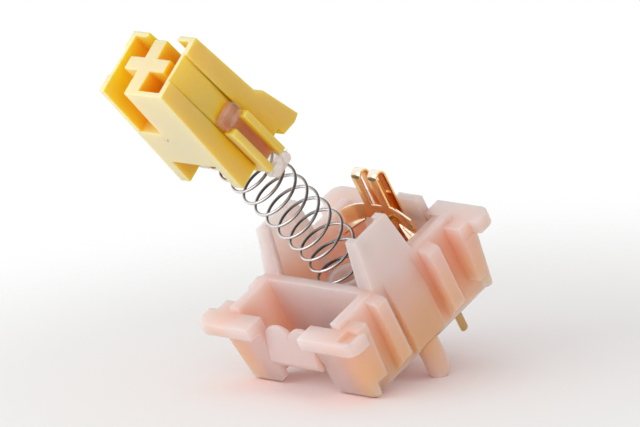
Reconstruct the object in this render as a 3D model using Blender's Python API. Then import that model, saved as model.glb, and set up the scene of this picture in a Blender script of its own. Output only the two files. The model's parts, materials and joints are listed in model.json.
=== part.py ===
"""An opened mechanical keyboard switch: pink bottom housing, spring, contacts and the lifted yellow stem.

The frame is the one the switch is mounted in. The origin lies on the centre post's axis in the plane of
the circuit board, +Z is the way the key comes up, +Y the contact side and -Y the light slot side.
"""

import math

import bmesh
import bpy
from mathutils import Matrix, Vector

MM = 0.001

# Flange and body of the bottom housing
FLANGE_SIDE = 15.6 * MM
FLANGE_SEAT_Z = 5.0 * MM
FLANGE_THICK = 1.0 * MM
FLANGE_CORNER_R = 0.9 * MM
EAR_LENGTH = 1.7 * MM
EAR_POCKET_RIM = 0.45 * MM
EAR_POCKET_DEPTH = 0.35 * MM
FLANGE_OVERHANG = 0.8 * MM
BODY_TAPER = 0.45 * MM
END_WALL = 0.8 * MM
SIDE_WALL = 0.85 * MM
WALL_TOP_ABOVE_FLANGE = 0.4 * MM
CLIP_RECESS_DEPTH = 2.35 * MM
CORNER_COLUMN = 2.7 * MM
WALL_BOTTOM_Z = 0.45 * MM
COLUMN_STEP_Z = 1.5 * MM
FOOT_CHAMFER = 0.5 * MM
WEST_SLANT_RUN = 1.4 * MM
WEST_SLANT_RISE = 1.0 * MM
EAST_SLANT_RUN = 0.5 * MM
EAST_SLANT_RISE = 0.45 * MM
DECK_THICK = 1.0 * MM
PARTITION_FACE = 2.9 * MM
PARTITION_THICK = 0.7 * MM
CHAMBER_SILL_Z = 3.4 * MM
SILL_WEST_OPENING = 1.3 * MM

# Light slot and the two plate tongues
SLOT_WIDTH = 5.0 * MM
TONGUE_SIDE_GAP = 0.15 * MM
TONGUE_REACH = 0.15 * MM
TONGUE_BOTTOM_Z = 2.4 * MM
TONGUE_WALL = 0.75 * MM
LOBE_RISE = 0.5 * MM
LOBE_THICK = 0.35 * MM
LOBE_STEPS = 10

# Latch wedges that the missing top housing clips over
LATCH_OFFSET = 2.9 * MM
LATCH_WIDTH = 1.05 * MM
LATCH_RISE = 1.05 * MM
LATCH_SLOPE = 0.35 * MM
LATCH_FOOT_Z = 0.7 * MM
PANEL_WIDTH = 3.0 * MM
PANEL_RISE = 0.5 * MM

# Guide posts
POST_TOP_Z = 9.8 * MM
POST_WIDTH = 3.4 * MM
POST_SLOT_SIDE_SPREAD = 0.7 * MM
POST_CONTACT_SIDE_SPREAD = 0.35 * MM
POST_TOP_INSET = 0.5 * MM
POST_LAP = 0.05 * MM
POST_RIB_RISE = 0.65 * MM
POST_RIB_WIDTH = 0.55 * MM

# Spring tube, centre post and locating pegs
TUBE_OUTER_R = 1.55 * MM
TUBE_BORE_R = 1.05 * MM
TUBE_TOP_Z = 5.2 * MM
TUBE_BORE_FLOOR_Z = -1.2 * MM
CENTRE_POST_R = 2.0 * MM
CENTRE_POST_DROP = 2.3 * MM
CENTRE_POST_CHAMFER = 0.4 * MM
PEG_R = 0.85 * MM
PEG_OFFSET = 5.08 * MM
PEG_DROP = 2.85 * MM
PEG_NOSE = 0.8 * MM
PEG_SHOULDER_R = 0.72 * MM
PEG_TIP_R = 0.42 * MM

# Contact side
BLOCK_CENTRE_X = 1.15 * MM
BLOCK_WIDTH = 2.3 * MM
BLOCK_TOP_Z = 7.0 * MM
EAST_SHELF_TOP_Z = 5.9 * MM
EAST_SHELF_WIDTH = 1.25 * MM
WEST_SHELF_TOP_Z = 5.5 * MM
WEST_SHELF_WIDTH = 0.35 * MM
WEST_SHELF_START_Y = 3.9 * MM
PIN_SLOT_GAP = 0.06 * MM

# Spring
SPRING_OUTER_R = 2.0 * MM
SPRING_WIRE_R = 0.11 * MM
SPRING_PITCH = 1.37 * MM
SPRING_DEAD_TURNS = 1.5
SPRING_DEAD_PITCH = 0.24 * MM
SPRING_SEAT_GAP = 0.03 * MM
SPRING_BEND_LENGTH = 4.6 * MM
SPRING_STEPS_PER_TURN = 16

# Stem, in its own frame: origin on the axis at the rim, +Z out of the cross
STEM_LEAN = math.radians(17.7)
LEAN_BEARING = math.radians(3.0)
STEM_RIM_TRAVEL = 21.9 * MM
LEAN_PIVOT_Z = 7.3 * MM
CROSS_SPAN = 4.0 * MM
CROSS_ARM_X = 1.05 * MM
CROSS_ARM_Y = 1.25 * MM
STEM_SPAN_X = 6.35 * MM
RIM_SPAN_Y = 4.95 * MM
FOOT_SPAN_Y = 5.9 * MM
BRACKET_WALL = 0.5 * MM
BRACKET_LAP = 0.15 * MM
LIP_THICK = 0.4 * MM
LIP_REACH = 1.7 * MM
WELL_DEPTH = 4.5 * MM
WELL_FLOOR = 0.8 * MM
SPRING_WELL_R = 2.2 * MM
SPRING_WELL_DEPTH = 2.4 * MM
SLIDER_LENGTH = 2.2 * MM
SLIDER_WALL = 1.0 * MM
CHANNEL_WIDTH = 2.2 * MM
CHANNEL_RECESS = 0.2 * MM
RAIL_START = 1.5 * MM
RAIL_OVERHANG = 0.7 * MM
RAIL_WIDTH = 0.55 * MM
RAIL_GROOVE = 1.0 * MM
RAIL_RISE = 1.0 * MM
LEG_START = 0.6 * MM
LEG_REACH = 0.55 * MM
LEG_FLARE = 0.65 * MM
LEG_OVERHANG = 0.8 * MM
POLE_R = 0.9 * MM
POLE_NOSE_R = 0.7 * MM
POLE_NOSE = 0.3 * MM
POLE_OVERHANG = 0.9 * MM

# Dampers
DAMPER_GAP = 0.04 * MM
DAMPER_LINK = 0.5 * MM
UPPER_PAD_LENGTH = 1.2 * MM
UPPER_PAD_WIDTH = 1.9 * MM
UPPER_PAD_RISE = 0.7 * MM
LOWER_PAD_LENGTH = 0.9 * MM
LOWER_PAD_WIDTH = 1.9 * MM

# Contacts
SHEET = 0.16 * MM
LEAF_WALL_GAP = 0.55 * MM
LEAF_HALF_WIDTH = 1.25 * MM
LEAF_SLIT_HALF = 0.38 * MM
LEAF_FRONT_SLIT_HALF = 0.5 * MM
LEAF_SLIT_START_Z = 9.1 * MM
LEAF_TOP_Z = 10.1 * MM
LEAF_BEND_R = 0.42 * MM
LEAF_BEND_STEPS = 8
LEAF_STRIP_END_Z = 7.5 * MM
LEAF_BAR_END_Z = 6.3 * MM
LEAF_TONGUE_END_Z = 5.0 * MM
EAST_WING_REACH = 1.85 * MM
WEST_WING_REACH = 2.6 * MM
WING_DROP = 0.75 * MM
WING_CURL = 0.8 * MM
WING_BOW = 0.2 * MM
WING_COLUMNS = 5
LEAF_FOOT_Z = 1.35 * MM
LEAF_FOOT_HEIGHT = 1.1 * MM
MOVING_PIN_X = -3.81 * MM
MOVING_PIN_Y = 2.54 * MM
FIXED_PIN_X = 2.54 * MM
FIXED_PIN_Y = 5.08 * MM
PIN_DROP = 3.3 * MM
PIN_WIDTH = 0.62 * MM
PIN_THICK = 0.22 * MM
POINT_R = 0.38 * MM
POINT_NOSE_R = 0.27 * MM
POINT_HEIGHT = 0.16 * MM
POINT_GAP = 0.03 * MM
POINT_Z = 5.55 * MM
FIXED_PLATE_TOP_Z = 6.2 * MM
FIXED_PLATE_HALF = 0.75 * MM
FIXED_FOOT_TOP_Z = 2.6 * MM

# Fineness of round shapes
ROUND = 24
OVERRUN = 0.5 * MM

FLANGE_TOP_Z = FLANGE_SEAT_Z + FLANGE_THICK
WALL_TOP_Z = FLANGE_TOP_Z + WALL_TOP_ABOVE_FLANGE
FLANGE_HALF = FLANGE_SIDE / 2
BODY_TOP_HALF = FLANGE_HALF - FLANGE_OVERHANG
BODY_FOOT_HALF = BODY_TOP_HALF - BODY_TAPER
CLIP_RECESS_FACE = FLANGE_HALF - CLIP_RECESS_DEPTH
CORNER_COLUMN_START = FLANGE_HALF - CORNER_COLUMN
CAVITY_X = CLIP_RECESS_FACE - SIDE_WALL
CAVITY_Y = BODY_TOP_HALF - END_WALL
LEAF_BACK_Y = CAVITY_Y - LEAF_WALL_GAP
LEAF_ARM_Y = LEAF_BACK_Y - 2 * LEAF_BEND_R
MOVING_PIN = Vector((MOVING_PIN_X, MOVING_PIN_Y, 0.0))
FIXED_PIN = Vector((FIXED_PIN_X, FIXED_PIN_Y, 0.0))

# Depths below the stem's rim, and its faces along X
SPRING_WELL_TOP = WELL_DEPTH + WELL_FLOOR
BODY_DEPTH = SPRING_WELL_TOP + SPRING_WELL_DEPTH
SLIDER_DEPTH = BODY_DEPTH + SLIDER_LENGTH
RAIL_TOP = BODY_DEPTH - RAIL_START
RAIL_END = SLIDER_DEPTH + RAIL_OVERHANG
UPPER_PAD_TOP = RAIL_TOP - UPPER_PAD_LENGTH
LEG_TOP = BODY_DEPTH - LEG_START
LEG_FOOT = SLIDER_DEPTH + LEG_OVERHANG
POLE_BOTTOM = BODY_DEPTH + POLE_OVERHANG
STEM_HALF_X = STEM_SPAN_X / 2
SLIDER_INNER_X = STEM_HALF_X - SLIDER_WALL
CHANNEL_FLOOR_X = STEM_HALF_X - CHANNEL_RECESS
RAIL_FACE_X = CHANNEL_FLOOR_X + RAIL_RISE


def material(name, colour, roughness, metallic=0.0, alpha=1.0):
    """A Principled material with one plain colour."""
    result = bpy.data.materials.new(name)
    result.use_nodes = True
    shader = result.node_tree.nodes["Principled BSDF"]
    shader.inputs["Base Color"].default_value = (*colour, 1.0)
    shader.inputs["Roughness"].default_value = roughness
    shader.inputs["Metallic"].default_value = metallic
    shader.inputs["Alpha"].default_value = alpha
    result.diffuse_color = (*colour, alpha)
    return result


def mesh_object(name, bm):
    """A scene object that takes over a bmesh, with its faces turned outwards."""
    bmesh.ops.remove_doubles(bm, verts=bm.verts, dist=1e-7)
    bmesh.ops.recalc_face_normals(bm, faces=bm.faces)
    mesh = bpy.data.meshes.new(name)
    bm.to_mesh(mesh)
    bm.free()
    result = bpy.data.objects.new(name, mesh)
    bpy.context.collection.objects.link(result)
    return result


def loft(sections):
    """A closed solid through rings of points that all have the same number of corners."""
    bm = bmesh.new()
    rings = [[bm.verts.new(point) for point in section] for section in sections]
    for low, high in zip(rings, rings[1:]):
        for i, corner in enumerate(low):
            j = (i + 1) % len(low)
            bm.faces.new((corner, low[j], high[j], high[i]))
    bm.faces.new(list(reversed(rings[0])))
    bm.faces.new(rings[-1])
    return bm


def block(x0, x1, y0, y1, z0, z1, top=None):
    """A box between two corners. top gives the four limits of a top face of another size."""
    x2, x3, y2, y3 = top or (x0, x1, y0, y1)
    foot = [(x0, y0, z0), (x1, y0, z0), (x1, y1, z0), (x0, y1, z0)]
    head = [(x2, y2, z1), (x3, y2, z1), (x3, y3, z1), (x2, y3, z1)]
    return mesh_object("block", loft([foot, head]))


def prism(outline, axis, low, high):
    """A solid with a flat outline, carried along one of the three axes from low to high."""
    place = {
        "X": lambda u, v, w: (w, u, v),
        "Y": lambda u, v, w: (u, w, v),
        "Z": lambda u, v, w: (u, v, w),
    }[axis]
    ends = [[place(u, v, w) for u, v in outline] for w in (low, high)]
    return mesh_object("prism", loft(ends))


def turned(profile, centre=(0.0, 0.0), segments=ROUND):
    """A solid of revolution about an upright axis, from (radius, z) pairs going up."""
    rings = []
    for radius, z in profile:
        angles = [2 * math.pi * i / segments for i in range(segments)]
        rings.append(
            [(centre[0] + radius * math.cos(a), centre[1] + radius * math.sin(a), z) for a in angles]
        )
    return mesh_object("turned", loft(rings))


def mirrored(outline):
    """The outline reflected in X, with its corners in the same turning sense."""
    return [(-u, v) for u, v in reversed(outline)]


def combine(target, tool, operation):
    """Apply one Boolean to target and remove the tool."""
    modifier = target.modifiers.new(operation, "BOOLEAN")
    modifier.operation = operation
    modifier.solver = "EXACT"
    modifier.object = tool
    bpy.context.view_layer.update()
    evaluated = target.evaluated_get(bpy.context.evaluated_depsgraph_get())
    result = bpy.data.meshes.new_from_object(evaluated)
    target.modifiers.clear()
    old = target.data
    target.data = result
    bpy.data.meshes.remove(old)
    tool_mesh = tool.data
    bpy.data.objects.remove(tool)
    bpy.data.meshes.remove(tool_mesh)


def join(target, *pieces):
    for piece in pieces:
        combine(target, piece, "UNION")


def cut(target, *tools):
    for tool in tools:
        combine(target, tool, "DIFFERENCE")


def finish(item, name, look, angle=35.0):
    """Name a sub-part, clean its mesh and shade its round faces smooth."""
    item.name = name
    item.data.name = name
    bm = bmesh.new()
    bm.from_mesh(item.data)
    bmesh.ops.remove_doubles(bm, verts=bm.verts, dist=2e-6)
    bmesh.ops.dissolve_degenerate(bm, dist=2e-6, edges=bm.edges)
    bmesh.ops.dissolve_limit(bm, angle_limit=math.radians(0.2), verts=bm.verts, edges=bm.edges)
    bmesh.ops.triangulate(bm, faces=bm.faces)
    bm.to_mesh(item.data)
    bm.free()
    item.data.materials.clear()
    item.data.materials.append(look)
    item.data.shade_smooth()
    item.data.set_sharp_from_angle(angle=math.radians(angle))
    return item


# Bottom housing


def rounded_square(half, radius, steps=5):
    """Corner points of a square with rounded corners, going round once."""
    points = []
    for quarter in range(4):
        start = quarter * math.pi / 2
        centre = Vector((half - radius, half - radius))
        centre.rotate(Matrix.Rotation(start, 2))
        for i in range(steps + 1):
            angle = start + math.pi / 2 * i / steps
            points.append((centre.x + radius * math.cos(angle), centre.y + radius * math.sin(angle)))
    return points


def housing_shell():
    """The tapering body with its flange, before anything is cut out of it."""
    levels = (
        (BODY_FOOT_HALF - FOOT_CHAMFER, 0.0),
        (BODY_FOOT_HALF, FOOT_CHAMFER),
        (BODY_TOP_HALF, FLANGE_SEAT_Z + FLANGE_THICK / 2),
    )
    rings = [[(x, y, z) for x, y in rounded_square(half, FLANGE_CORNER_R)] for half, z in levels]
    shell = mesh_object("shell", loft(rings))
    flange = prism(rounded_square(FLANGE_HALF, FLANGE_CORNER_R), "Z", FLANGE_SEAT_Z, FLANGE_TOP_Z)
    join(shell, flange)
    return shell


def clip_recess(side, low_y, high_y):
    """Space beside an outer wall where a leg of the top housing comes down."""
    outer = FLANGE_HALF + OVERRUN
    limits = sorted((side * CLIP_RECESS_FACE, side * outer))
    return block(*limits, low_y, high_y, -OVERRUN, FLANGE_TOP_Z + OVERRUN)


def latch(side, centre_y):
    """A rib up the side wall whose head is the wedge that the top housing clips over."""
    reach = CLIP_RECESS_FACE + LATCH_RISE
    wall = CLIP_RECESS_FACE - OVERRUN / 2
    outline = [
        (wall, LATCH_FOOT_Z - FOOT_CHAMFER),
        (reach - FOOT_CHAMFER, LATCH_FOOT_Z),
        (reach, LATCH_FOOT_Z + FOOT_CHAMFER),
        (reach, FLANGE_TOP_Z - LATCH_SLOPE / 2),
        (reach - LATCH_SLOPE / 2, FLANGE_TOP_Z),
        (wall, WALL_TOP_Z - LATCH_SLOPE / 4),
    ]
    if side < 0:
        outline = mirrored(outline)
    return prism(outline, "Y", centre_y - LATCH_WIDTH / 2, centre_y + LATCH_WIDTH / 2)


def side_panel(side):
    """The thicker middle of a side wall, between the latches and above the locating peg."""
    wall = CLIP_RECESS_FACE - OVERRUN / 2
    face = CLIP_RECESS_FACE + PANEL_RISE
    outline = [
        (wall, LATCH_FOOT_Z - FOOT_CHAMFER),
        (face, LATCH_FOOT_Z - FOOT_CHAMFER / 2),
        (face, FLANGE_SEAT_Z - FLANGE_THICK),
        (CLIP_RECESS_FACE, WALL_TOP_Z - LATCH_SLOPE / 4),
        (wall, WALL_TOP_Z - LATCH_SLOPE / 4),
    ]
    if side < 0:
        outline = mirrored(outline)
    return prism(outline, "Y", -PANEL_WIDTH / 2, PANEL_WIDTH / 2)


def guide_post(side):
    """A tall post with two ribs on its inner face, between which a slider's rails run."""
    half = POST_WIDTH / 2
    south = half + POST_SLOT_SIDE_SPREAD
    north = half + POST_CONTACT_SIDE_SPREAD
    inner = CAVITY_X - POST_LAP
    middle = (inner + CLIP_RECESS_FACE) / 2
    rib = CAVITY_X - POST_RIB_RISE
    top_face = CLIP_RECESS_FACE - POST_TOP_INSET
    result = post_wall(side, (inner, CLIP_RECESS_FACE), (-south, north), (inner, top_face), (-half, half))
    for foot, head in ((-south, -half), (north - POST_RIB_WIDTH, half - POST_RIB_WIDTH)):
        foot_ys = (foot, foot + POST_RIB_WIDTH)
        head_ys = (head, head + POST_RIB_WIDTH)
        join(result, post_wall(side, (rib, middle), foot_ys, (rib, inner + POST_LAP), head_ys))
    return result


def post_wall(side, foot_xs, foot_ys, head_xs, head_ys):
    """An upright wall from the deck to the post's top that narrows above the housing's walls."""
    levels = (
        (DECK_THICK / 2, foot_xs, foot_ys),
        (WALL_TOP_Z, foot_xs, foot_ys),
        (POST_TOP_Z, head_xs, head_ys),
    )
    return mesh_object(
        "post", loft([[(side * x, y, z) for x, y in rectangle(*xs, *ys)] for z, xs, ys in levels])
    )


def rectangle(x0, x1, y0, y1):
    return [(x0, y0), (x1, y0), (x1, y1), (x0, y1)]


def plate_tongue(side):
    """The springy tongue that grips a switch plate: one slanting face under two round lobes."""
    half = SLOT_WIDTH / 2 - TONGUE_SIDE_GAP
    inner = CAVITY_Y
    reach = BODY_TOP_HALF + TONGUE_REACH
    top = FLANGE_SEAT_Z + LOBE_RISE
    outline = [
        (inner, TONGUE_BOTTOM_Z),
        (reach - FOOT_CHAMFER / 2, TONGUE_BOTTOM_Z),
        (reach, TONGUE_BOTTOM_Z + FOOT_CHAMFER),
        (inner + LOBE_THICK, top),
        (inner, top),
    ]
    points = [(side * y, z) for y, z in outline]
    if side < 0:
        points.reverse()
    result = prism(points, "X", -half, half)
    foot = FLANGE_SEAT_Z - FLANGE_THICK / 4
    lobes = [(-half, TONGUE_BOTTOM_Z - OVERRUN), (half, TONGUE_BOTTOM_Z - OVERRUN)]
    for centre in (half / 2, -half / 2):
        angles = [math.pi * i / LOBE_STEPS for i in range(LOBE_STEPS + 1)]
        arc = [(centre + half / 2 * math.cos(a), foot + (top - foot) * math.sin(a)) for a in angles]
        lobes += arc if centre > 0 else arc[1:]
    combine(result, prism(lobes, "Y", *sorted((0.0, side * FLANGE_SIDE))), "INTERSECT")
    bridge_y = sorted((side * inner, side * (inner + LOBE_THICK)))
    bridge_half = SLOT_WIDTH / 2 + OVERRUN
    bridge_z = (TONGUE_BOTTOM_Z + FOOT_CHAMFER, FLANGE_SEAT_Z - FLANGE_THICK / 2)
    join(result, block(-bridge_half, bridge_half, *bridge_y, *bridge_z))
    return result


def peg(side):
    profile = [
        (PEG_TIP_R, -PEG_DROP),
        (PEG_SHOULDER_R, -PEG_DROP + PEG_NOSE / 3),
        (PEG_R, -PEG_DROP + PEG_NOSE),
        (PEG_R, DECK_THICK),
    ]
    return turned(profile, centre=(side * PEG_OFFSET, 0.0), segments=16)


def pin_slot(pin, along):
    """A slot through the deck for a terminal, wide along X or along Y."""
    half = PIN_WIDTH / 2 + PIN_SLOT_GAP
    thin = PIN_THICK / 2 + PIN_SLOT_GAP
    dx, dy = (half, thin) if along == "X" else (thin, half)
    top = LEAF_FOOT_Z + LEAF_FOOT_HEIGHT + OVERRUN
    return block(pin.x - dx, pin.x + dx, pin.y - dy, pin.y + dy, -OVERRUN, top)


def foot_slant(side, run, rise):
    """A wedge that takes the inner corner off the foot beside the light slot."""
    half = SLOT_WIDTH / 2
    steep = rise / run
    outline = [
        (half - OVERRUN, -OVERRUN),
        (half + run + OVERRUN / steep, -OVERRUN),
        (half - OVERRUN, rise + OVERRUN * steep),
    ]
    if side < 0:
        outline = mirrored(outline)
    return prism(outline, "Y", -FLANGE_SIDE, -CAVITY_Y)


def ear_pocket():
    """The shallow pocket in the top of the east ear on the light slot side."""
    low = FLANGE_HALF - EAR_LENGTH
    high = FLANGE_HALF - EAR_POCKET_RIM
    return block(low, high, -high, -low, FLANGE_TOP_Z - EAR_POCKET_DEPTH, WALL_TOP_Z)


def bottom_housing(look):
    housing = housing_shell()
    half = SLOT_WIDTH / 2
    back = CAVITY_Y + TONGUE_WALL
    top = WALL_TOP_Z
    # The hollow, the light slot on one side and the plate tongue's window on the other
    cut(
        housing,
        block(-CAVITY_X, CAVITY_X, -CAVITY_Y, CAVITY_Y, -OVERRUN, top),
        block(-half, half, -FLANGE_SIDE, -CAVITY_Y + OVERRUN, -OVERRUN, top),
        block(-half, half, CAVITY_Y - OVERRUN, FLANGE_SIDE, FLANGE_SEAT_Z, top),
        block(-half, half, back, FLANGE_SIDE, -OVERRUN, top),
    )
    for side in (-1, 1):
        for end in (-1, 1):
            ear_start = FLANGE_HALF - EAR_LENGTH
            ys = sorted((end * CORNER_COLUMN_START, end * ear_start))
            xs = sorted((side * BODY_TOP_HALF, side * (FLANGE_HALF + OVERRUN)))
            cut(housing, block(*xs, *ys, FLANGE_SEAT_Z - OVERRUN, FLANGE_TOP_Z + OVERRUN))
            step_x = sorted((side * CLIP_RECESS_FACE, side * (FLANGE_HALF + OVERRUN)))
            step_y = sorted((end * CORNER_COLUMN_START / 2, end * (BODY_FOOT_HALF - FOOT_CHAMFER)))
            cut(housing, block(*step_x, *step_y, -OVERRUN, COLUMN_STEP_Z))
        cut(housing, clip_recess(side, -CORNER_COLUMN_START, CORNER_COLUMN_START))
    cut(
        housing,
        foot_slant(-1, WEST_SLANT_RUN, WEST_SLANT_RISE),
        foot_slant(1, EAST_SLANT_RUN, EAST_SLANT_RISE),
        ear_pocket(),
    )
    # Inner walls, deck and what stands on it
    for side in (-1, 1):
        xs = sorted((side * CAVITY_X, side * CLIP_RECESS_FACE))
        join(housing, block(*xs, -CAVITY_Y, CAVITY_Y, WALL_BOTTOM_Z, WALL_TOP_Z))
    sill_y = (PARTITION_FACE - PARTITION_THICK, PARTITION_FACE)
    join(
        housing,
        block(-CAVITY_X, CAVITY_X, -PARTITION_FACE, CAVITY_Y, 0.0, DECK_THICK),
        block(-CAVITY_X, CAVITY_X, -PARTITION_FACE, -PARTITION_FACE + PARTITION_THICK, 0.0, WALL_TOP_Z),
        block(-CAVITY_X + SILL_WEST_OPENING, CAVITY_X, *sill_y, 0.0, CHAMBER_SILL_Z),
    )
    east_shelf_x = (CAVITY_X - EAST_SHELF_WIDTH, CAVITY_X)
    west_shelf_x = (-CAVITY_X, -CAVITY_X + WEST_SHELF_WIDTH)
    block_xs = (BLOCK_CENTRE_X - BLOCK_WIDTH / 2, BLOCK_CENTRE_X + BLOCK_WIDTH / 2)
    join(
        housing,
        block(*block_xs, CAVITY_Y, back, FLANGE_SEAT_Z - OVERRUN, BLOCK_TOP_Z),
        block(*east_shelf_x, POST_WIDTH / 2, CAVITY_Y, 0.0, EAST_SHELF_TOP_Z),
        block(*west_shelf_x, WEST_SHELF_START_Y, CAVITY_Y, 0.0, WEST_SHELF_TOP_Z),
    )
    for side in (-1, 1):
        join(
            housing,
            side_panel(side),
            latch(side, -LATCH_OFFSET),
            latch(side, LATCH_OFFSET),
            guide_post(side),
            peg(side),
            plate_tongue(side),
        )
    post = turned(
        [
            (CENTRE_POST_R - CENTRE_POST_CHAMFER, -CENTRE_POST_DROP),
            (CENTRE_POST_R, -CENTRE_POST_DROP + CENTRE_POST_CHAMFER),
            (CENTRE_POST_R, DECK_THICK / 2),
        ]
    )
    tube = turned([(TUBE_OUTER_R, DECK_THICK / 2), (TUBE_OUTER_R, TUBE_TOP_Z)])
    join(housing, post, tube)
    cut(
        housing,
        turned([(TUBE_BORE_R, TUBE_BORE_FLOOR_Z), (TUBE_BORE_R, TUBE_TOP_Z + OVERRUN)]),
        pin_slot(MOVING_PIN, "Y"),
        pin_slot(FIXED_PIN, "Y"),
    )
    return finish(housing, "bottom_housing", look)


# Stem


def lean_axis():
    """The level axis about which the stem and the spring's upper run lean."""
    return Vector((math.cos(LEAN_BEARING), -math.sin(LEAN_BEARING), 0.0))


def stem_frame():
    """The matrix that sets the stem's own frame into the switch's frame, leaning to the light slot."""
    lean = Matrix.Rotation(STEM_LEAN, 4, lean_axis())
    foot = Matrix.Translation((0.0, 0.0, LEAN_PIVOT_Z))
    return foot @ lean @ Matrix.Translation((0.0, 0.0, STEM_RIM_TRAVEL))


def half_span_y(depth):
    """Half the stem's width along Y at a depth below the rim: its walls have a moulding draft."""
    return (RIM_SPAN_Y + (FOOT_SPAN_Y - RIM_SPAN_Y) * depth / SLIDER_DEPTH) / 2


def drafted(x0, x1, depth):
    """A solid from the rim down to a depth that follows the draft of the stem's two ends."""
    foot, rim = half_span_y(depth), half_span_y(0.0)
    sections = [
        [(x, y, -depth) for x, y in rectangle(x0, x1, -foot, foot)],
        [(x, y, 0.0) for x, y in rectangle(x0, x1, -rim, rim)],
    ]
    return mesh_object("stem", loft(sections))


def stem_rails(side):
    """The two rails on the outer face of a slider, and the floor that carries them below its end."""
    half = RAIL_GROOVE / 2 + RAIL_WIDTH
    floor_x = sorted((side * SLIDER_INNER_X, side * CHANNEL_FLOOR_X))
    pieces = [block(*floor_x, -half, half, -RAIL_END, -SLIDER_DEPTH + RAIL_OVERHANG)]
    for end in (-1, 1):
        ys = sorted((end * RAIL_GROOVE / 2, end * (RAIL_GROOVE / 2 + RAIL_WIDTH)))
        xs = sorted((side * (CHANNEL_FLOOR_X - BRACKET_LAP), side * RAIL_FACE_X))
        pieces.append(block(*xs, *ys, -RAIL_END, -RAIL_TOP))
    return pieces


def stem_leg(side):
    """A flaring leg that pushes one wing of the contact leaf."""
    inner = half_span_y(LEG_FOOT) - SLIDER_WALL
    start = half_span_y(LEG_TOP) - BRACKET_LAP
    reach = start + LEG_REACH
    outline = [
        (inner, -LEG_TOP + LEG_REACH / 2),
        (start, -LEG_TOP + LEG_REACH / 2),
        (reach, -LEG_TOP),
        (reach + LEG_FLARE, -LEG_FOOT),
        (reach, -LEG_FOOT - LEG_REACH / 4),
        (inner, -LEG_FOOT + LEG_REACH / 4),
    ]
    outline.reverse()
    return prism(outline, "X", *sorted((side * SLIDER_INNER_X, side * STEM_HALF_X)))


def stem(look):
    outer = STEM_HALF_X
    inner = outer - BRACKET_WALL
    gap = outer - LIP_REACH
    arm_x = CROSS_ARM_X / 2
    arm_y = CROSS_ARM_Y / 2
    reach = CROSS_SPAN / 2
    core = half_span_y(0.0) - LIP_THICK
    wide = FOOT_SPAN_Y
    result = drafted(-outer, outer, SLIDER_DEPTH)
    # The well, open at the contact side and, west of the cross, at the light slot side
    cut(
        result,
        block(-inner, inner, -core, core, -WELL_DEPTH, OVERRUN),
        block(-gap, gap, core - OVERRUN, wide, -BODY_DEPTH + WELL_FLOOR, OVERRUN),
        block(-inner, -arm_y, -wide, -core + OVERRUN, -WELL_DEPTH, OVERRUN),
        block(-SLIDER_INNER_X, SLIDER_INNER_X, -wide, wide, -SLIDER_DEPTH - OVERRUN, -BODY_DEPTH),
        turned([(SPRING_WELL_R, -SLIDER_DEPTH), (SPRING_WELL_R, -SPRING_WELL_TOP)]),
    )
    floor = -WELL_DEPTH - WELL_FLOOR / 2
    join(
        result,
        block(-reach, reach, -arm_x, arm_x, floor, 0.0),
        block(-arm_y, arm_y, -core - LIP_THICK / 2, reach, floor, 0.0),
    )
    for side in (-1, 1):
        channel_x = sorted((side * CHANNEL_FLOOR_X, side * (RAIL_FACE_X + OVERRUN)))
        half = CHANNEL_WIDTH / 2
        cut(result, block(*channel_x, -half, half, -SLIDER_DEPTH - OVERRUN, OVERRUN))
        join(result, *stem_rails(side), stem_leg(side))
    pole = [(POLE_NOSE_R, -POLE_BOTTOM), (POLE_R, -POLE_BOTTOM + POLE_NOSE), (POLE_R, floor)]
    join(result, turned(pole))
    finish(result, "stem", look)
    result.matrix_world = stem_frame()
    return result


def damper(side, name, look):
    """A soft insert: a pad in the channel, a link in the groove and a pad at the slider's end."""
    gap = DAMPER_GAP
    floor = CHANNEL_FLOOR_X + gap
    half_link = RAIL_GROOVE / 2 - gap
    pad_half = UPPER_PAD_WIDTH / 2
    xs = sorted((side * floor, side * (CHANNEL_FLOOR_X + UPPER_PAD_RISE)))
    pad_foot = -RAIL_TOP + gap
    result = block(*xs, -pad_half, pad_half, pad_foot, -UPPER_PAD_TOP)
    link_xs = sorted((side * floor, side * (floor + DAMPER_LINK)))
    end = -RAIL_END - gap
    link = block(*link_xs, -half_link, half_link, end - LOWER_PAD_LENGTH / 2, -UPPER_PAD_TOP - gap)
    lower_half = LOWER_PAD_WIDTH / 2
    lower_xs = sorted((side * floor, side * RAIL_FACE_X))
    join(result, link, block(*lower_xs, -lower_half, lower_half, end - LOWER_PAD_LENGTH, end))
    finish(result, name, look)
    result.matrix_world = stem_frame()
    return result


# Spring


def spring_axis(length):
    """Point on the spring's bent centre line at a length along it, and how far it leans there."""
    straight = LEAN_PIVOT_Z - SPRING_BEND_LENGTH / 2 - DECK_THICK
    turn = min(max(length - straight, 0.0), SPRING_BEND_LENGTH)
    angle = STEM_LEAN * turn / SPRING_BEND_LENGTH
    radius = SPRING_BEND_LENGTH / STEM_LEAN
    after = max(length - straight - SPRING_BEND_LENGTH, 0.0)
    aside = radius * (1 - math.cos(angle)) + after * math.sin(angle)
    z = DECK_THICK + min(length, straight) + radius * math.sin(angle) + after * math.cos(angle)
    towards = lean_axis().cross(Vector((0.0, 0.0, 1.0)))
    return towards * aside + Vector((0.0, 0.0, z)), angle


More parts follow.
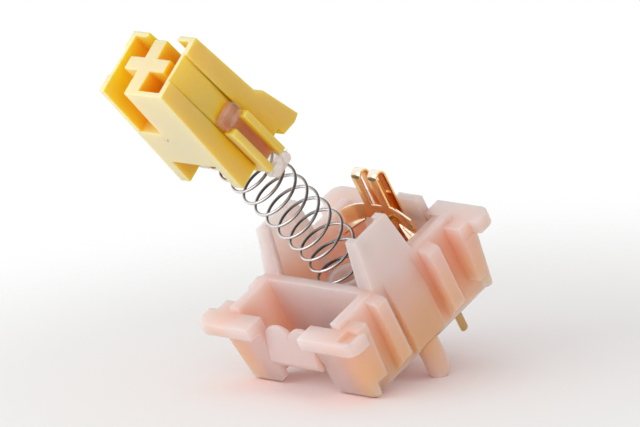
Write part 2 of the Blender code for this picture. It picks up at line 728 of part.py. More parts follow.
def spring(look):
    """A round wire wound about the centre line, with close turns at both ends."""
    radius = SPRING_OUTER_R - SPRING_WIRE_R
    start = SPRING_SEAT_GAP + SPRING_WIRE_R
    top_of_well = stem_frame() @ Vector((0.0, 0.0, -SPRING_WELL_TOP))
    end = spring_length_to(top_of_well) - SPRING_SEAT_GAP - SPRING_WIRE_R
    close = SPRING_DEAD_TURNS * SPRING_DEAD_PITCH
    open_turns = (end - start - 2 * close) / SPRING_PITCH
    turns = 2 * SPRING_DEAD_TURNS + open_turns
    steps = int(turns * SPRING_STEPS_PER_TURN)
    points = []
    for i in range(steps + 1):
        turn = turns * i / steps
        lower = min(turn, SPRING_DEAD_TURNS)
        upper = max(turn - SPRING_DEAD_TURNS - open_turns, 0.0)
        middle = turn - lower - upper
        length = start + (lower + upper) * SPRING_DEAD_PITCH + middle * SPRING_PITCH
        centre, angle = spring_axis(length)
        phase = 2 * math.pi * turn
        offset = Vector((radius * math.cos(phase), radius * math.sin(phase), 0.0))
        offset.rotate(Matrix.Rotation(angle, 3, lean_axis()))
        points.append(centre + offset)
    curve = bpy.data.curves.new("spring", "CURVE")
    curve.dimensions = "3D"
    curve.bevel_depth = SPRING_WIRE_R
    curve.bevel_resolution = 1
    curve.use_fill_caps = True
    line = curve.splines.new("POLY")
    line.points.add(len(points) - 1)
    for target, point in zip(line.points, points):
        target.co = (*point, 1.0)
    result = bpy.data.objects.new("spring", curve)
    curve.materials.append(look)
    bpy.context.collection.objects.link(result)
    return result


def spring_length_to(point):
    """Length along the centre line at which its straight upper run passes nearest to a point."""
    start = LEAN_PIVOT_Z + SPRING_BEND_LENGTH / 2 - DECK_THICK
    corner, angle = spring_axis(start)
    direction = Vector((0.0, 0.0, 1.0))
    direction.rotate(Matrix.Rotation(angle, 3, lean_axis()))
    return start + (point - corner).dot(direction)


# Contacts


def sheet_object(name, faces, thickness, look):
    """A stamped piece: flat faces given by their corners, joined along their edges and thickened."""
    bm = bmesh.new()
    for corners in faces:
        bm.faces.new([bm.verts.new(corner) for corner in corners])
    bmesh.ops.remove_doubles(bm, verts=bm.verts, dist=1e-7)
    bmesh.ops.recalc_face_normals(bm, faces=bm.faces)
    mesh = bpy.data.meshes.new(name)
    bm.to_mesh(mesh)
    bm.free()
    result = bpy.data.objects.new(name, mesh)
    bpy.context.collection.objects.link(result)
    solid = result.modifiers.new("thickness", "SOLIDIFY")
    solid.thickness = thickness
    solid.offset = 0.0
    solid.use_even_offset = True
    solid.use_quality_normals = True
    mesh.materials.append(look)
    return result


def strip_faces(rows):
    """Quads between neighbouring rows of points."""
    faces = []
    for low, high in zip(rows, rows[1:]):
        for i in range(len(low) - 1):
            faces.append((low[i], low[i + 1], high[i + 1], high[i]))
    return faces


def leaf_bend():
    """Points (y, z) over the bend, from the back plate to the front arm."""
    centre_y = LEAF_BACK_Y - LEAF_BEND_R
    centre_z = LEAF_TOP_Z - LEAF_BEND_R
    angles = [math.pi * i / LEAF_BEND_STEPS for i in range(LEAF_BEND_STEPS + 1)]
    return [(centre_y + LEAF_BEND_R * math.cos(a), centre_z + LEAF_BEND_R * math.sin(a)) for a in angles]


def wing_faces(side, reach_x, arm_y):
    """One wing of the front arm: it sweeps out and down, and its lower edge curls to the stem."""
    rows = [[], []]
    curl = [[], [], []]
    for i in range(WING_COLUMNS + 1):
        t = i / WING_COLUMNS
        x = side * (LEAF_HALF_WIDTH + reach_x * t)
        sag = WING_DROP * t * t
        y = arm_y - WING_BOW * math.sin(math.pi * t / 2)
        low = LEAF_BAR_END_Z - sag / 2
        rows[0].append((x, y, LEAF_STRIP_END_Z - sag))
        rows[1].append((x, y, low))
        for step, row in enumerate(curl, 1):
            angle = math.pi / 2 * step / len(curl)
            drop = WING_CURL * t * math.sin(angle)
            reach = WING_CURL * t * (1 - math.cos(angle))
            if i:
                row.append((x, y - reach, low - drop))
    return strip_faces(rows) + strip_faces([rows[1][1:], *curl])


def moving_contact_leaf(look):
    half = LEAF_HALF_WIDTH
    slit = LEAF_SLIT_HALF
    front = LEAF_FRONT_SLIT_HALF
    back = LEAF_BACK_Y
    arm = LEAF_ARM_Y
    foot_top = LEAF_FOOT_Z + LEAF_FOOT_HEIGHT
    columns = (-half, -slit, slit, half)
    back_levels = (LEAF_FOOT_Z, foot_top, LEAF_SLIT_START_Z)
    faces = strip_faces([[(x, back, z) for x in columns] for z in back_levels])
    for sign in (-1, 1):
        pair = (sign * slit, sign * half)
        rows = [[(x, back, LEAF_SLIT_START_Z) for x in pair]]
        rows += [[(x, y, z) for x in pair] for y, z in leaf_bend()]
        rows += [[(x, arm, LEAF_STRIP_END_Z) for x in (sign * front, sign * half)]]
        faces += strip_faces(rows)
    bar = (-half, -front, front, half)
    faces += strip_faces([[(x, arm, z) for x in bar] for z in (LEAF_STRIP_END_Z, LEAF_BAR_END_Z)])
    tongue_levels = (LEAF_BAR_END_Z, LEAF_TONGUE_END_Z)
    faces += strip_faces([[(x, arm, z) for x in (-front, front)] for z in tongue_levels])
    faces += wing_faces(-1, WEST_WING_REACH, arm)
    faces += wing_faces(1, EAST_WING_REACH, arm)
    pin = MOVING_PIN
    near = pin.y - PIN_WIDTH / 2
    far = pin.y + PIN_WIDTH / 2
    levels = (LEAF_FOOT_Z, foot_top)
    faces += strip_faces([[(-half, back, z), (pin.x, back, z)] for z in levels])
    faces += strip_faces([[(pin.x, back, z), (pin.x, far, z), (pin.x, near, z)] for z in levels])
    faces += strip_faces([[(pin.x, far, z), (pin.x, near, z)] for z in (LEAF_FOOT_Z, -PIN_DROP)])
    return sheet_object("moving_contact_leaf", faces, SHEET, look)


def fixed_plate_y():
    """Place of the fixed plate, with both points and three small gaps between it and the leaf's arm."""
    return LEAF_ARM_Y - SHEET - 2 * POINT_HEIGHT - 3 * POINT_GAP


def fixed_contact(look):
    half = FIXED_PLATE_HALF
    y = fixed_plate_y()
    pin = FIXED_PIN
    near = pin.y - PIN_WIDTH / 2
    far = pin.y + PIN_WIDTH / 2
    levels = (LEAF_FOOT_Z, FIXED_FOOT_TOP_Z)
    faces = strip_faces([[(x, y, z) for x in (-half, half)] for z in (*levels, FIXED_PLATE_TOP_Z)])
    faces += strip_faces([[(half, y, z), (pin.x, y, z)] for z in levels])
    faces += strip_faces([[(pin.x, y, z), (pin.x, near, z), (pin.x, far, z)] for z in levels])
    faces += strip_faces([[(pin.x, near, z), (pin.x, far, z)] for z in (LEAF_FOOT_Z, -PIN_DROP)])
    return sheet_object("fixed_contact", faces, SHEET, look)


def contact_point(name, face_y, direction, look):
    """A small round point standing on a sheet face that looks along plus or minus Y."""
    rings = []
    for radius, height in ((POINT_R, 0.0), (POINT_R, POINT_HEIGHT / 2), (POINT_NOSE_R, POINT_HEIGHT)):
        y = face_y + direction * (POINT_GAP + height)
        angles = [2 * math.pi * i / ROUND for i in range(ROUND)]
        rings.append([(radius * math.cos(a), y, POINT_Z + radius * math.sin(a)) for a in angles])
    return finish(mesh_object(name, loft(rings)), name, look)


def main():
    for item in list(bpy.data.objects):
        bpy.data.objects.remove(item, do_unlink=True)
    pink = material("pink_housing", (0.83, 0.56, 0.50), 0.35)
    yellow = material("yellow_stem", (0.86, 0.62, 0.13), 0.45)
    silicone = material("damper_silicone", (0.86, 0.82, 0.80), 0.3)
    steel = material("spring_steel", (0.62, 0.62, 0.63), 0.25, metallic=1.0)
    copper = material("leaf_copper", (0.80, 0.52, 0.25), 0.25, metallic=1.0)
    brass = material("plate_brass", (0.83, 0.66, 0.36), 0.3, metallic=1.0)
    gold = material("contact_gold", (0.90, 0.72, 0.38), 0.25, metallic=1.0)

    bottom_housing(pink)
    stem(yellow)
    damper(1, "damper_east", silicone)
    damper(-1, "damper_west", silicone)
    spring(steel)
    moving_contact_leaf(copper)
    fixed_contact(brass)
    contact_point("moving_contact_point", LEAF_ARM_Y - SHEET / 2, -1, gold)
    contact_point("fixed_contact_point", fixed_plate_y() + SHEET / 2, 1, gold)
    bpy.context.view_layer.update()


main()
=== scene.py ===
"""Looks of an opened mechanical keyboard switch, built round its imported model."""

import json
import math

import bmesh
import bpy
from mathutils import Matrix, Vector


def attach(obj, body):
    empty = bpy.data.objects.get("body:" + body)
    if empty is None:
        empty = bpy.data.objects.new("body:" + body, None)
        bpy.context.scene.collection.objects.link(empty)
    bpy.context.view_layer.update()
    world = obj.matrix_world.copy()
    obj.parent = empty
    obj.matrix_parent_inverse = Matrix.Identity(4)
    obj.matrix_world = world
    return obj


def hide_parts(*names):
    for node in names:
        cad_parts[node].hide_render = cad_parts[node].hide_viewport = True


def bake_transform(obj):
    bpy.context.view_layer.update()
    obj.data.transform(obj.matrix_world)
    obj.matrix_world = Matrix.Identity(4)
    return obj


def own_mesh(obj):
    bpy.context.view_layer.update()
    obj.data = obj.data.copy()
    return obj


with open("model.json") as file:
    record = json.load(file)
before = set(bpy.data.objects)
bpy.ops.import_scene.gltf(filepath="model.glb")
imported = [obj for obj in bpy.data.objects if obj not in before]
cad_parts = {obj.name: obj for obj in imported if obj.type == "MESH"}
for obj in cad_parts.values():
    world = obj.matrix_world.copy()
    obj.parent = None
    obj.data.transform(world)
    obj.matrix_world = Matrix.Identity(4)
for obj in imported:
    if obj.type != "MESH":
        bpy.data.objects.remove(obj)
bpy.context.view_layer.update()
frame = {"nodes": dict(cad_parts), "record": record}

MM = 0.001
NODES = frame["nodes"]
STEM_PRESS = frame["record"]["behaviour"]["joints"][0]


# Camera, fitted to the photograph

# Rotation vector from the part's axes to the camera's right, down and forward ones
CAMERA_ROTATION = Vector((2.116255150326203, 0.5546166667777296, -0.8549409898960393))
# Where the origin shows, the scale there, and one over its distance from the camera in millimetres
ORIGIN_PIXEL = (376.0039, 333.6040)
PIXELS_PER_MM = 14.573114
CLOSENESS = 0.0018093770
PHOTO_WIDTH = 640
PHOTO_CENTRE = (320.0, 213.5)
SENSOR_WIDTH = 36.0
NEAR_CLIP = 0.01
FAR_CLIP = 10.0

camera_turn = Matrix.Rotation(CAMERA_ROTATION.length, 3, CAMERA_ROTATION.normalized())
RIGHT, DOWN, FORWARD = (Vector(row) for row in camera_turn)
UP = -DOWN
# The way towards the window whose light falls on the switch, in the part's axes
WINDOW = Vector((-0.35, -0.85, 0.4)).normalized()


def facing(direction, up):
    """A rotation that turns a lamp's or camera's view along a direction."""
    back = -direction.normalized()
    right = up.cross(back).normalized()
    return Matrix((right, back.cross(right), back)).transposed().to_4x4()


def link(made):
    """Put an object into the scene."""
    bpy.context.scene.collection.objects.link(made)
    return made


def place_camera():
    camera = link(bpy.data.objects.new("camera", bpy.data.cameras.new("camera")))
    camera.data.lens = PIXELS_PER_MM / CLOSENESS / PHOTO_WIDTH * SENSOR_WIDTH
    camera.data.clip_start = NEAR_CLIP
    camera.data.clip_end = FAR_CLIP
    offset = Vector((
        (ORIGIN_PIXEL[0] - PHOTO_CENTRE[0]) / PIXELS_PER_MM,
        (ORIGIN_PIXEL[1] - PHOTO_CENTRE[1]) / PIXELS_PER_MM,
        1 / CLOSENESS,
    )) * MM
    eye = -(RIGHT * offset.x + DOWN * offset.y + FORWARD * offset.z)
    camera.matrix_world = Matrix.Translation(eye) @ facing(FORWARD, UP)
    bpy.context.scene.camera = camera


place_camera()


# Shader expressions

OCCLUSION_SAMPLES = 6
# A mix node's sockets for its factor and its two colours, and for what comes out
COLOUR_MIX_INPUTS = (0, 6, 7)
COLOUR_MIX_OUTPUT = 2


class Sock:
    """One output socket of a node tree, with arithmetic that adds the nodes it needs."""

    def __init__(self, tree, socket):
        self.tree = tree
        self.socket = socket

    def math(self, operation, *others, clamp=False):
        node = self.tree.nodes.new("ShaderNodeMath")
        node.operation = operation
        node.use_clamp = clamp
        for place, value in zip(node.inputs, (self, *others)):
            feed(self.tree, place, value)
        return Sock(self.tree, node.outputs[0])

    def __add__(self, other):
        return self.math("ADD", other)

    def __sub__(self, other):
        return self.math("SUBTRACT", other)

    def __mul__(self, other):
        return self.math("MULTIPLY", other)

    def __truediv__(self, other):
        return self.math("DIVIDE", other)

    def __rsub__(self, other):
        return self.math("MULTIPLY", -1.0) + other

    def clamp(self):
        return self.math("ADD", 0.0, clamp=True)

    def climb(self, start, span):
        """0 before a start, then climbing to 1 over a span. A negative span goes the other way."""
        return ((self - start) / span).clamp()


def feed(tree, place, value):
    """Put a plain value or a link into an input socket."""
    if isinstance(value, Sock):
        tree.links.new(value.socket, place)
    else:
        place.default_value = value


def blank_tree(owner):
    """The emptied node tree of a material or a world."""
    owner.use_nodes = True
    owner.node_tree.nodes.clear()
    return owner.node_tree


def add_node(tree, kind, settings=None, out=0, **values):
    """A node of a kind with its settings and sockets set. What comes back is one of its outputs."""
    made = tree.nodes.new(kind)
    for key, value in (settings or {}).items():
        setattr(made, key, value)
    for key, value in values.items():
        feed(tree, made.inputs[key.replace("_", " ")], value)
    return Sock(tree, made.outputs[out])


def vector_math(tree, operation, out, *values):
    """A vector operation on plain values or links, and one of its outputs by name."""
    made = tree.nodes.new("ShaderNodeVectorMath")
    made.operation = operation
    for place, value in zip(made.inputs, values):
        feed(tree, place, value)
    return Sock(tree, made.outputs[out])


def mix_shaders(tree, factor, first, second):
    """The first shader at a factor of 0 and the second at 1."""
    made = tree.nodes.new("ShaderNodeMixShader")
    for place, value in zip(made.inputs, (factor, first, second)):
        feed(tree, place, value)
    return Sock(tree, made.outputs[0])


def add_output(tree, kind, shader):
    output = tree.nodes.new(kind)
    feed(tree, output.inputs[0], shader)


class Finish:
    """A material with its Principled shader, and short ways to add nodes to it."""

    def __init__(self, name):
        self.material = bpy.data.materials.new(name)
        self.tree = blank_tree(self.material)
        self.shader = self.tree.nodes.new("ShaderNodeBsdfPrincipled")
        surface = Sock(self.tree, self.shader.outputs[0])
        add_output(self.tree, "ShaderNodeOutputMaterial", surface)

    def node(self, kind, settings=None, out=0, **values):
        return add_node(self.tree, kind, settings, out, **values)

    def place(self):
        """Where a point of the piece is, in metres."""
        return self.node("ShaderNodeTexCoord", out="Object")

    def along(self, axis):
        """How far a point of the piece lies along X, Y or Z, in metres."""
        return self.node("ShaderNodeSeparateXYZ", out=axis, Vector=self.place())

    def noise(self, scale, detail=3.0):
        """Clouds that stay with the piece, from 0 to 1, and finer at a higher scale."""
        return self.node("ShaderNodeTexNoise", Vector=self.place(), Scale=scale, Detail=detail)

    def openness(self, reach):
        """1 where nothing stands within a distance of the surface, falling to 0 in a recess."""
        settings = {"samples": OCCLUSION_SAMPLES}
        return self.node("ShaderNodeAmbientOcclusion", settings, out="AO", Distance=reach)

    def thickness(self, reach):
        """0 where the piece is thin, climbing to 1 where it is thicker than a distance."""
        settings = {"samples": OCCLUSION_SAMPLES, "inside": True}
        return self.node("ShaderNodeAmbientOcclusion", settings, out="AO", Distance=reach)

    def faces(self, direction):
        """How squarely the surface faces a direction, from 0 to 1."""
        normal = self.node("ShaderNodeTexCoord", out="Normal")
        return vector_math(self.tree, "DOT_PRODUCT", "Value", normal, direction).clamp()

    def near(self, point, reach):
        """1 at a point of the piece, falling to 0 at a distance from it."""
        apart = vector_math(self.tree, "DISTANCE", "Value", self.place(), point)
        return (1.0 - apart / reach).clamp()

    def mix(self, factor, first, second):
        """A colour between two, by a factor from 0 to 1."""
        made = self.tree.nodes.new("ShaderNodeMix")
        made.data_type = "RGBA"
        for index, value in zip(COLOUR_MIX_INPUTS, (factor, first, second)):
            feed(self.tree, made.inputs[index], value)
        return Sock(self.tree, made.outputs[COLOUR_MIX_OUTPUT])

    def ramp(self, factor, *stops):
        """A colour from a row of stops, each one a place from 0 to 1 and a colour."""
        made = self.tree.nodes.new("ShaderNodeValToRGB")
        feed(self.tree, made.inputs[0], factor)
        elements = made.color_ramp.elements
        elements.remove(elements[-1])
        for index, (position, colour) in enumerate(stops):
            element = elements[0] if index == 0 else elements.new(position)
            element.position = position
            element.color = colour
        return Sock(self.tree, made.outputs[0])

    def grain(self, scale, depth, strength):
        """Fine unevenness of the surface."""
        height = self.noise(scale)
        return self.node("ShaderNodeBump", Height=height, Distance=depth, Strength=strength)

    def set(self, **values):
        for key, value in values.items():
            feed(self.tree, self.shader.inputs[key.replace("_", " ")], value)


def rgb(red, green, blue):
    """A colour as it looks on a screen, from 0 to 255, turned into the renderer's values."""
    shown = [c / 255 for c in (red, green, blue)]
    linear = [c / 12.92 if c <= 0.04045 else ((c + 0.055) / 1.055) ** 2.4 for c in shown]
    return (*linear, 1.0)


# Looks

# Where the housing's side walls turn peach with a painted glow of light through them, and how far
# the colour takes to come in
PEACH_TOP_Z = 6.5 * MM
PEACH_TOP_FADE = 4.0 * MM
PEACH_FOOT_Z = -2.5 * MM
PEACH_FOOT_FADE = 3.0 * MM
PEACH_SIDE_X = 4.2 * MM
PEACH_SIDE_FADE = 1.6 * MM


def pink_plastic():
    """Milky pink with painted light: pale where it faces the window, peach as painted shade in
    recesses, a painted peach glow on the side walls, and peach in thick walls.
    """
    f = Finish("pink_plastic")
    recess = 1.0 - f.openness(4.0 * MM)
    solid = f.thickness(1.8 * MM)
    height = f.along("Z")
    # The mask of the painted glow of light through the side walls
    below_top = height.climb(PEACH_TOP_Z, -PEACH_TOP_FADE)
    above_foot = height.climb(PEACH_FOOT_Z, PEACH_FOOT_FADE)
    side = f.along("X").math("ABSOLUTE").climb(PEACH_SIDE_X, PEACH_SIDE_FADE)
    painted_side_glow = side * below_top * above_foot
    cloud = f.noise(260.0)
    # Painted shade in recesses, a painted glow on the side walls and painted light towards the
    # window, over cloudy tone and a deeper tone in thick walls
    painted_shade_and_tone = (
        recess * 0.3 + solid * 0.2 + painted_side_glow * 0.52 + cloud * 0.52
        - f.faces(WINDOW) * 0.14 - 0.2
    )
    f.set(
        Base_Color=f.ramp(
            painted_shade_and_tone,
            (0.0, rgb(253, 202, 197)),
            (0.3, rgb(255, 184, 168)),
            (0.8, rgb(255, 176, 134)),
        ),
        Roughness=cloud * 0.12 + 0.3,
        Coat_Weight=0.35,
        Coat_Roughness=0.12,
        Normal=f.grain(9000.0, 0.004 * MM, 0.5),
        Subsurface_Weight=1.0,
        Subsurface_Radius=(1.0, 0.78, 0.7),
        Subsurface_Scale=6.0 * MM,
        Transmission_Weight=0.1,
        IOR=1.5,
    )
    return f.material


# The small mark that the photograph shows on the stem's face
SCUFF_PLACE = Vector((-0.78, -7.70, 22.5)) * MM
SCUFF_REACH = 0.42 * MM


def yellow_plastic():
    """Warm yellow with painted light: cream where it faces the window, ochre as painted shade on
    the other sides, orange as painted shade in the well.
    """
    f = Finish("yellow_plastic")
    recess = 1.0 - f.openness(3.5 * MM)
    painted_shade_away = 1.0 - f.faces(WINDOW)
    # Painted shade in the well and on the sides away from the window, over a little cloudy tone
    painted_shade_and_tone = recess * 0.95 + painted_shade_away * 0.4 + f.noise(300.0) * 0.12 - 0.24
    lit_and_shaded_yellow = f.ramp(
        painted_shade_and_tone,
        (0.0, rgb(232, 218, 176)),
        (0.22, rgb(226, 190, 98)),
        (0.5, rgb(240, 196, 30)),
        (0.95, rgb(240, 158, 2)),
    )
    specks = (f.noise(5200.0, 2.0) * 4.0 - 1.9).clamp()
    scuff = f.near(SCUFF_PLACE, SCUFF_REACH) * specks
    f.set(
        Base_Color=f.mix((scuff * 1.6).clamp(), lit_and_shaded_yellow, rgb(150, 124, 84)),
        Roughness=f.noise(400.0) * 0.12 + 0.42,
        Normal=f.grain(8000.0, 0.004 * MM, 0.5),
        Subsurface_Weight=1.0,
        Subsurface_Radius=(1.0, 0.8, 0.2),
        Subsurface_Scale=1.6 * MM,
        Specular_IOR_Level=0.3,
    )
    return f.material


def clear_silicone():
    """Nearly clear rubber: what lies behind shows through, and more so where it is thin."""
    f = Finish("clear_silicone")
    f.set(
        Base_Color=rgb(255, 248, 242),
        Alpha=(f.thickness(0.9 * MM) * 1.2 - 0.25).clamp() * 0.72 + 0.05,
        Roughness=f.noise(600.0) * 0.2 + 0.06,
        Normal=f.grain(1500.0, 0.02 * MM, 0.8),
        Coat_Weight=0.6,
        Coat_Roughness=0.08,
        IOR=1.41,
    )
    return f.material


def metal(name, shaded, lit, roughness):
    """Bright metal with painted light: a shaded colour away from the window and a lit one towards
    it.
    """
    f = Finish(name)
    marks = f.noise(900.0, 4.0)
    f.set(
        # Painted light: the lit colour towards the window and the shaded one away from it, stirred
        # by random marks
        Base_Color=f.mix((f.faces(WINDOW) * 1.4 + marks * 0.3 - 0.4).clamp(), shaded, lit),
        Metallic=1.0,
        Roughness=marks * 0.12 + roughness,
    )
    return f.material


# A painted reflection of the dark bars that the upper bends mirror, where they turn towards the
# light slot
BAR_FACES = (0.0, -0.93, 0.37)
BAR_SQUARE_FROM = 0.955
BAR_SQUARE_SPAN = 0.03
BAR_ABOVE_Z = 9.2 * MM
BAR_FADE = 0.3 * MM


def copper_sheet():
    """Thin bright sheet with painted light: champagne in the open, a painted highlight nearly white
    on the bends, painted dark reflections on the upper bends, and orange in the fold, painted for
    light bounced inside it.
    """
    f = Finish("leaf_copper")
    marks = f.noise(1100.0, 4.0)
    # A painted highlight that whitens the faces turned up
    champagne_and_highlight = f.mix(f.faces((0.0, 0.0, 1.0)), rgb(240, 198, 132), rgb(255, 244, 226))
    turned = f.faces(BAR_FACES).climb(BAR_SQUARE_FROM, BAR_SQUARE_SPAN)
    high = f.along("Z").climb(BAR_ABOVE_Z, BAR_FADE)
    barred = f.mix(turned * high * 0.85, champagne_and_highlight, rgb(92, 70, 48))
    # Painted orange of light bounced inside the fold, stirred by random marks
    inside = ((1.0 - f.openness(0.9 * MM)) * 1.5 + marks * 0.4 - 0.45).clamp()
    f.set(
        Base_Color=f.mix(inside, barred, rgb(246, 160, 76)),
        Metallic=1.0,
        Roughness=marks * 0.12 + 0.08,
        Normal=f.grain(3000.0, 0.003 * MM, 0.3),
    )
    return f.material


# Pieces

# CAD points closer than this are one, and faces this nearly level with each other are one
WELD = 0.004 * MM
FLAT_ANGLE = math.radians(1.0)
EDGE_ANGLE = math.radians(25.0)
CORNER_ANGLE = math.radians(60.0)
SMOOTH_ANGLE = math.radians(40.0)
ALONG_X = 0.95
CORNER_SEGMENTS = 4
EDGE_SEGMENTS = 2
ROUND_PROFILE = 0.5

# How wide the rounding is on each kind of piece
HOUSING_EDGE = 0.065 * MM
STEM_EDGE = 0.085 * MM
SILICONE_EDGE = 0.1 * MM
SILICONE_CORNER = 0.3 * MM
SHEET_EDGE = 0.03 * MM
PIN_CORNER = 0.24 * MM
PIN_CORNERS_BELOW_Z = -3.0 * MM


def bevel(bm, edges, width, segments, clamp):
    """Round edges by a width, which a clamp keeps from running into its neighbours."""
    bmesh.ops.bevel(
        bm, geom=edges, offset=width, offset_type="OFFSET", affect="EDGES", segments=segments,
        profile=ROUND_PROFILE, clamp_overlap=clamp, material=-1,
    )


def softened(node, name, width, corner=0.0, below=math.inf):
    """A copy of a CAD node with its edges rounded by a width.

    With a corner size, the outer edges that run along X are rounded by it first, below a height.
    """
    bm = bmesh.new()
    bm.from_mesh(NODES[node].data)
    bmesh.ops.remove_doubles(bm, verts=bm.verts, dist=WELD)
    bmesh.ops.dissolve_degenerate(bm, dist=WELD, edges=bm.edges)
    bmesh.ops.dissolve_limit(bm, angle_limit=FLAT_ANGLE, verts=bm.verts, edges=bm.edges)
    bmesh.ops.connect_verts_concave(bm, faces=bm.faces)
    if corner:
        turning = [
            e for e in bm.edges
            if e.is_manifold and e.is_convex and e.calc_face_angle(0) > CORNER_ANGLE
            and all(v.co.z < below for v in e.verts)
            and abs((e.verts[1].co - e.verts[0].co).normalized().x) > ALONG_X
        ]
        bevel(bm, turning, corner, CORNER_SEGMENTS, clamp=True)
    sharp = [e for e in bm.edges if e.is_manifold and e.calc_face_angle(0) > EDGE_ANGLE]
    bevel(bm, sharp, width, EDGE_SEGMENTS, clamp=False)
    mesh = bpy.data.meshes.new(name)
    bm.to_mesh(mesh)
    bm.free()
    mesh.shade_smooth()
    mesh.set_sharp_from_angle(angle=SMOOTH_ANGLE)
    return link(bpy.data.objects.new(name, mesh))


def dress(made, look, node, body=None):
    """Give a piece its material and slot, and let it stand in for a CAD node."""
    made.data.materials.clear()
    made.data.materials.append(look)
    if body:
        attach(made, body)
    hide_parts(node)


# Spring: the line it is wound about stands upright, then bends into the stem's lean

LEAN = math.radians(17.7)
BEARING = math.radians(3.0)
LEAN_AXIS = Vector((math.cos(BEARING), -math.sin(BEARING), 0.0))
LEAN_SIDE = LEAN_AXIS.cross(Vector((0.0, 0.0, 1.0)))
PRESS = Vector(STEM_PRESS["axis"])
DECK_THICK = 1.0 * MM
BEND_LENGTH = 4.6 * MM
LEAN_PIVOT_Z = 7.3 * MM
STRAIGHT_LENGTH = LEAN_PIVOT_Z - BEND_LENGTH / 2 - DECK_THICK
STEM_WELL_TOP = 16.6 * MM
WIRE_R = 0.11 * MM
WIRE_ROUNDNESS = 3
COIL_R = 1.89 * MM
COIL_PITCH = 1.37 * MM
COIL_STEPS = 48
DEAD_TURNS = 1.5
DEAD_PITCH = 0.24 * MM
SEAT_GAP = 0.03 * MM


def coil_line(length):
    """A point of the spring's centre line at a length along it, and how far it leans there."""
    angle = LEAN * min(max(length - STRAIGHT_LENGTH, 0.0), BEND_LENGTH) / BEND_LENGTH
    bend_radius = BEND_LENGTH / LEAN
    after = max(length - STRAIGHT_LENGTH - BEND_LENGTH, 0.0)
    aside = bend_radius * (1 - math.cos(angle)) + after * math.sin(angle)
    rise = bend_radius * math.sin(angle) + after * math.cos(angle)
    upright = Vector((0.0, 0.0, DECK_THICK + min(length, STRAIGHT_LENGTH) + rise))
    return LEAN_SIDE * aside + upright, angle


def coil_spring(low, high):
    """A smooth round wire wound about the centre line, with close turns at both ends."""
    open_turns = (high - low - 2 * DEAD_TURNS * DEAD_PITCH) / COIL_PITCH
    turns = 2 * DEAD_TURNS + open_turns
    steps = int(turns * COIL_STEPS)
    curve = bpy.data.curves.new("wire", "CURVE")
    curve.dimensions = "3D"
    curve.bevel_depth = WIRE_R
    curve.bevel_resolution = WIRE_ROUNDNESS
    curve.use_fill_caps = True
    line = curve.splines.new("POLY")
    line.points.add(steps)
    for i in range(steps + 1):
        wound = turns * i / steps
        first = min(wound, DEAD_TURNS)
        last = max(wound - DEAD_TURNS - open_turns, 0.0)
        length = low + (first + last) * DEAD_PITCH + (wound - first - last) * COIL_PITCH
        centre, angle = coil_line(length)
        around = 2 * math.pi * wound
        arm = Vector((math.cos(around), math.sin(around), 0.0)) * COIL_R
        arm.rotate(Matrix.Rotation(angle, 3, LEAN_AXIS))
        line.points[i].co = (*(centre + arm), 1.0)
    wire = bpy.data.objects.new("wire", curve)
    mesh = bpy.data.meshes.new_from_object(wire)
    bpy.data.objects.remove(wire)
    mesh.name = "coil_spring"
    mesh.shade_smooth()
    return link(bpy.data.objects.new("coil_spring", mesh))


# All the pieces, dressed

PINK = pink_plastic()
YELLOW = yellow_plastic()
SILICONE = clear_silicone()
# Each metal has a painted shaded colour and a painted lit one; on the steel they paint dark sides
# and bright glints
STEEL = metal("spring_steel", rgb(76, 70, 68), rgb(236, 232, 230), 0.06)
COPPER = copper_sheet()
BRASS = metal("plate_brass", rgb(196, 158, 104), rgb(236, 214, 170), 0.2)
GOLD = metal("contact_gold", rgb(206, 166, 92), rgb(240, 212, 150), 0.12)

housing = softened("bottom_housing", "housing_moulding", HOUSING_EDGE)
dress(housing, PINK, "bottom_housing", "housing")
stem = softened("stem", "stem_moulding", STEM_EDGE)
dress(stem, YELLOW, "stem", "stem")
for side in ("east", "west"):
    node = "damper_" + side
    pad = softened(node, "silicone_" + node, SILICONE_EDGE, SILICONE_CORNER)
    dress(pad, SILICONE, node, "stem")

well_top = Vector((0.0, 0.0, LEAN_PIVOT_Z)) - PRESS * STEM_WELL_TOP
bend_end, _ = coil_line(STRAIGHT_LENGTH + BEND_LENGTH)
line_length = STRAIGHT_LENGTH + BEND_LENGTH - (well_top - bend_end).dot(PRESS)
wire_seat = WIRE_R + SEAT_GAP
spring = coil_spring(wire_seat, line_length - wire_seat)
dress(spring, STEEL, "spring", "housing")
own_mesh(spring)

# The leaf: a rounded copy of its CAD node, with its place baked into its points
leaf = softened(
    "moving_contact_leaf", "contact_leaf", SHEET_EDGE, PIN_CORNER, PIN_CORNERS_BELOW_Z
)
dress(leaf, COPPER, "moving_contact_leaf")
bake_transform(leaf)
plate = softened("fixed_contact", "contact_plate", SHEET_EDGE, PIN_CORNER, PIN_CORNERS_BELOW_Z)
dress(plate, BRASS, "fixed_contact", "housing")

for node in ("moving_contact_point", "fixed_contact_point"):
    NODES[node].data.materials.clear()
    NODES[node].data.materials.append(GOLD)


# Floor and light

# The switch stands tipped, on its locating pegs and on the feet beside the light slot
FLOOR_TILT = math.radians(26.0)
FLOOR_TOUCH = Vector((5.08 * MM, 0.0, -2.85 * MM))
FLOOR_NORMAL = Vector((0.0, math.sin(FLOOR_TILT), math.cos(FLOOR_TILT)))
FLOOR_RADIUS = 0.06
FLOOR_SEGMENTS = 64
FLOOR_FADE_START = 0.02
FLOOR_FADE_END = 0.055
PAPER_COLOUR = (0.93, 0.92, 0.915, 1.0)
WHITE = (1.0, 1.0, 1.0, 1.0)
LAMP_AIM = Vector((0.0, -2.0 * MM, 12.0 * MM))
# The background's light on the switch, from its dim side to its bright one
BRIGHT_SIDE = (-RIGHT * 0.8 + UP * 0.35 - FORWARD * 0.5).normalized()
LIGHT_CHANGES_WITHIN = 0.7
DIM_LIGHT = 0.52
BRIGHT_LIGHT = 0.9


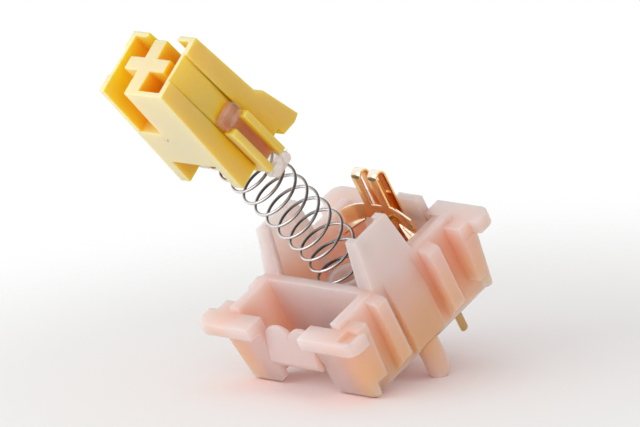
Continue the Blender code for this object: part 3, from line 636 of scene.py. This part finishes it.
def floor_look():
    """White paper that shows only from above and fades into the backdrop."""
    material = bpy.data.materials.new("paper")
    tree = blank_tree(material)
    place = add_node(tree, "ShaderNodeTexCoord", out="Object")
    faded = add_node(
        tree, "ShaderNodeMapRange", {"interpolation_type": "SMOOTHSTEP"},
        Value=vector_math(tree, "LENGTH", "Value", place),
        From_Min=FLOOR_FADE_START, From_Max=FLOOR_FADE_END,
    )
    hidden = add_node(tree, "ShaderNodeNewGeometry", out="Backfacing").math("MAXIMUM", faded)
    paper = add_node(tree, "ShaderNodeBsdfDiffuse", Color=PAPER_COLOUR)
    clear = add_node(tree, "ShaderNodeBsdfTransparent")
    surface = mix_shaders(tree, hidden, paper, clear)
    add_output(tree, "ShaderNodeOutputMaterial", surface)
    return material


def lay_floor():
    mesh = bpy.data.meshes.new("floor")
    bm = bmesh.new()
    bmesh.ops.create_circle(bm, cap_ends=True, segments=FLOOR_SEGMENTS, radius=FLOOR_RADIUS)
    bm.to_mesh(mesh)
    bm.free()
    mesh.materials.append(floor_look())
    floor = link(bpy.data.objects.new("floor", mesh))
    middle = FLOOR_NORMAL * FLOOR_TOUCH.dot(FLOOR_NORMAL)
    level = facing(-FLOOR_NORMAL, Vector((0.0, 1.0, 0.0)))
    floor.matrix_world = Matrix.Translation(middle) @ level


def soft_box(name, direction, distance, size, strength):
    """A square lamp that looks at the switch from a direction of the camera's right, up and back.

    The strength is how bright a white surface looks that faces it.
    """
    data = bpy.data.lights.new(name, "AREA")
    data.shape = "SQUARE"
    data.size = size
    data.energy = strength * math.pi ** 2 * distance ** 2
    right, up, back = direction
    way = (RIGHT * right + UP * up - FORWARD * back).normalized()
    lamp = link(bpy.data.objects.new(name, data))
    lamp.matrix_world = Matrix.Translation(LAMP_AIM + way * distance) @ facing(-way, UP)


def backdrop():
    """White to look at. Its light is stronger from the window's side than from the other."""
    world = bpy.data.worlds.new("studio")
    bpy.context.scene.world = world
    tree = blank_tree(world)
    place = add_node(tree, "ShaderNodeTexCoord", out="Generated")
    strength = add_node(
        tree, "ShaderNodeMapRange", {"interpolation_type": "SMOOTHSTEP"},
        Value=vector_math(tree, "DOT_PRODUCT", "Value", place, BRIGHT_SIDE),
        From_Min=-LIGHT_CHANGES_WITHIN, From_Max=LIGHT_CHANGES_WITHIN,
        To_Min=DIM_LIGHT, To_Max=BRIGHT_LIGHT,
    )
    fill = add_node(tree, "ShaderNodeBackground", Color=WHITE, Strength=strength)
    white = add_node(tree, "ShaderNodeBackground", Color=WHITE)
    seen = add_node(tree, "ShaderNodeLightPath", out="Is Camera Ray")
    for kind in ("Is Transmission Ray", "Is Glossy Ray"):
        seen = seen.math("MAXIMUM", add_node(tree, "ShaderNodeLightPath", out=kind))
    add_output(tree, "ShaderNodeOutputWorld", mix_shaders(tree, seen, fill, white))


lay_floor()
soft_box("key", (-0.9, 0.2, 0.4), distance=0.2, size=0.16, strength=0.27)
soft_box("fill", (0.1, 0.1, 1.0), distance=0.3, size=0.2, strength=0.12)
backdrop()
bpy.context.scene.view_settings.view_transform = "Standard"
